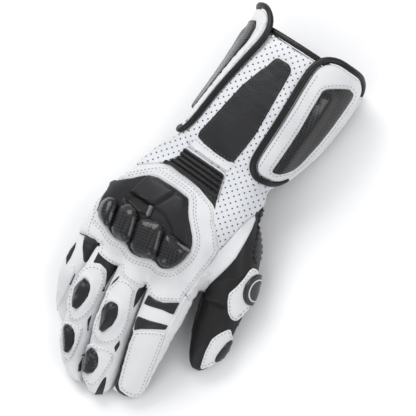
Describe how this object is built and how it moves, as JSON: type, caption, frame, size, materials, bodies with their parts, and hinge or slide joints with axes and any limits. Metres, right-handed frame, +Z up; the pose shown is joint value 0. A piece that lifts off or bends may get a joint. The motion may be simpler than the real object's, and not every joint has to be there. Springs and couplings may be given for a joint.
{
  "type": "leather motorcycle glove",
  "caption": "White and black leather motorcycle racing glove for the right hand, with a gauntlet cuff, hard knuckle armour and finger sliders, lying palm down.",
  "frame": {"origin": "on the floor, in the middle of the flat underside of the heel of the palm, on which the glove lies", "axes": "+X towards the thumb, +Y from the fingers towards the cuff, +Z up, out of the back of the hand"},
  "size_m": [0.1507, 0.3015, 0.0726],
  "materials": {
    "white_leather": "smooth white leather with a fine grain",
    "perforated_leather": "white leather with rows of small holes",
    "black_leather": "matte black leather",
    "black_binding": "rolled black leather binding",
    "black_plastic": "satin black moulded plastic",
    "carbon": "glossy black carbon twill"
  },
  "bodies": {
    "root": {"hand": "white_leather", "finger_index": "white_leather", "finger_middle": "white_leather", "finger_ring": "white_leather", "finger_little": "white_leather", "cuff": "white_leather", "guard_thumb": "white_leather", "guard_little": "white_leather", "back_panel": "white_leather", "side_strip": "white_leather", "index_panel": "white_leather", "middle_panel": "white_leather", "ring_panel": "white_leather", "little_panel": "white_leather", "thumb_knuckle_panel": "white_leather", "thumb_tip_panel": "white_leather", "cuff_centre_panel": "perforated_leather", "vent_panel_thumb": "perforated_leather", "vent_panel_little": "perforated_leather", "thumb": "black_leather", "cuff_patch": "black_leather", "wrist_strap": "black_leather", "wrist_accordion": "black_leather", "thumb_accordion": "black_leather", "index_patch": "black_leather", "index_band": "black_leather", "cuff_mouth_binding": "black_binding", "guard_thumb_binding": "black_binding", "guard_little_binding": "black_binding", "knuckle_armour": "black_plastic", "armour_back_plate": "black_plastic", "thumb_badge": "black_plastic", "guard_thumb_plate": "carbon", "guard_little_plate": "carbon", "armour_dome_little": "carbon", "armour_dome_ring": "carbon", "armour_dome_middle": "carbon", "armour_dome_index": "carbon", "middle_slider_knuckle": "carbon", "middle_slider_tip": "carbon", "ring_slider_knuckle": "carbon", "ring_slider_tip": "carbon", "thumb_slider": "carbon"}
  },
  "joints": []
}
